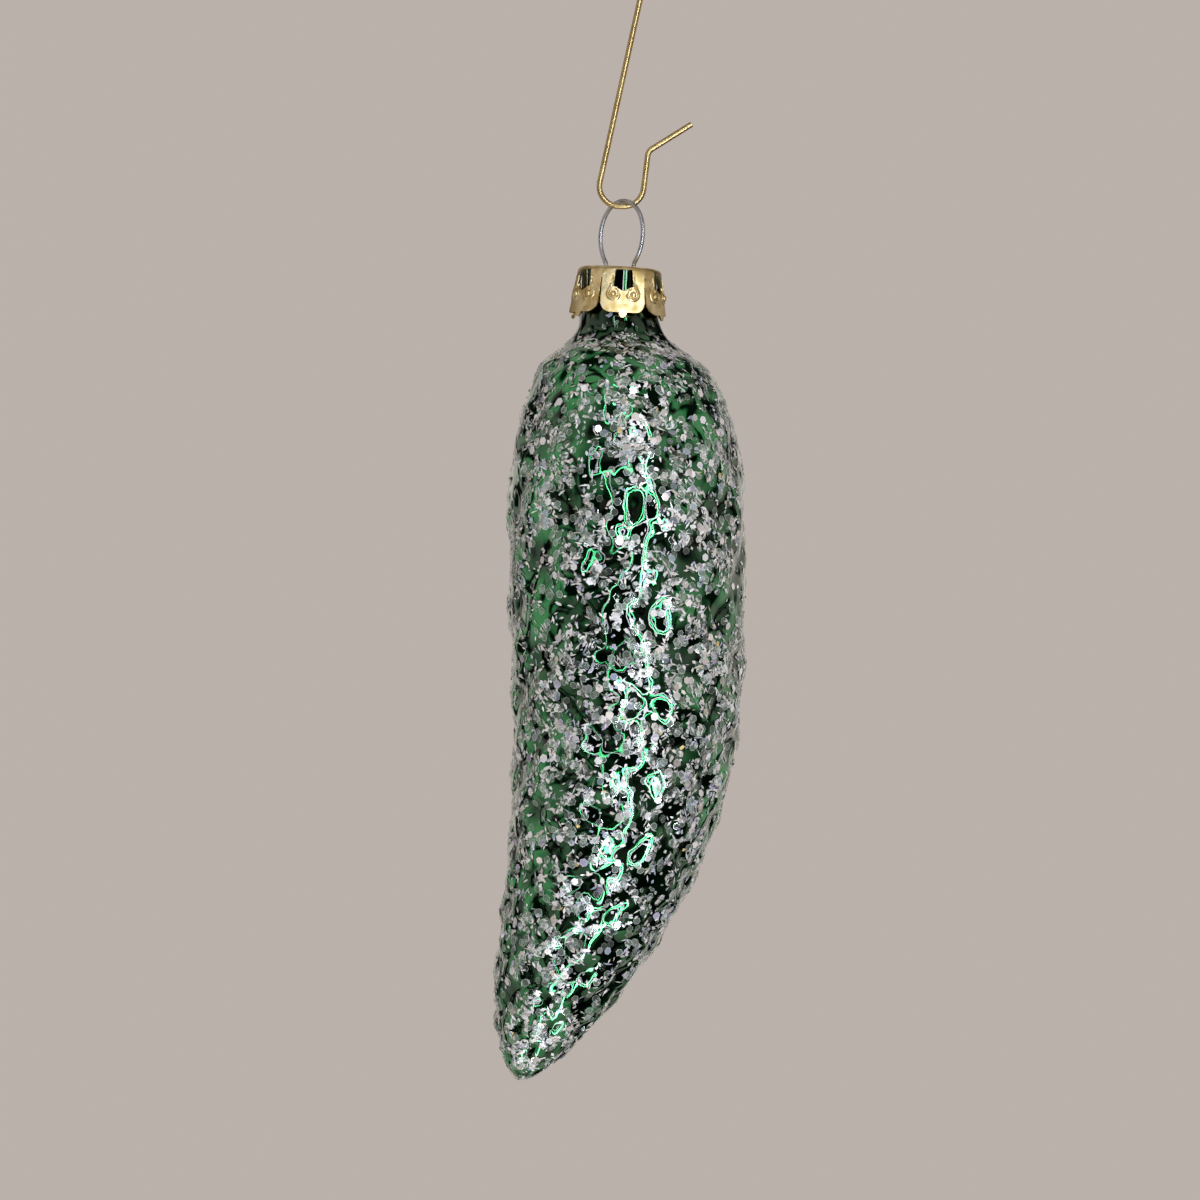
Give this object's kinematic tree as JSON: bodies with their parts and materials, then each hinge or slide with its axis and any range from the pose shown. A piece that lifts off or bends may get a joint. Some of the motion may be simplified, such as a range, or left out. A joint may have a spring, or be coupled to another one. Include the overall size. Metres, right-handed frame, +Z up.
{
  "type": "christmas tree ornament",
  "caption": "Curved mirrored-glass pine cone ornament with glitter, a crown cap, a spring-wire loop it swings from and an S-shaped wire hook that goes over a branch.",
  "frame": {"origin": "centre of the hook's upper crook, where the branch goes", "axes": "+Z up as it hangs, +X to the right and +Y away when seen with the cone's tip bent to the left"},
  "size_m": [0.035, 0.0332, 0.1827],
  "materials": {
    "hook_wire": "bright gold-tone wire",
    "loop_wire": "bright drawn spring wire",
    "cap_sheet": "stamped bright gold-tone sheet",
    "silvered_glass": "blown glass, silvered inside, clear green lacquer outside",
    "glitter": "aluminised film flakes, some with a pale lavender or blue sheen"
  },
  "bodies": {
    "hook": {"tree_hook": "hook_wire"},
    "cap": {"spring_loop": "loop_wire", "crown_cap": "cap_sheet"},
    "cone": {"glass_cone": "silvered_glass", "glitter_flakes": "glitter"}
  },
  "joints": [
    {"name": "loop_swing", "type": "hinge", "parent": "hook", "child": "cap", "pos_m": [0, 0, -0.054], "axis": [1, 0, 0], "range_deg": [-80, 80]},
    {"name": "cap_pull", "type": "slide", "parent": "cap", "child": "cone", "axis": [-0.0523, 0, -0.9986], "range_m": [0, 0.02]}
  ]
}
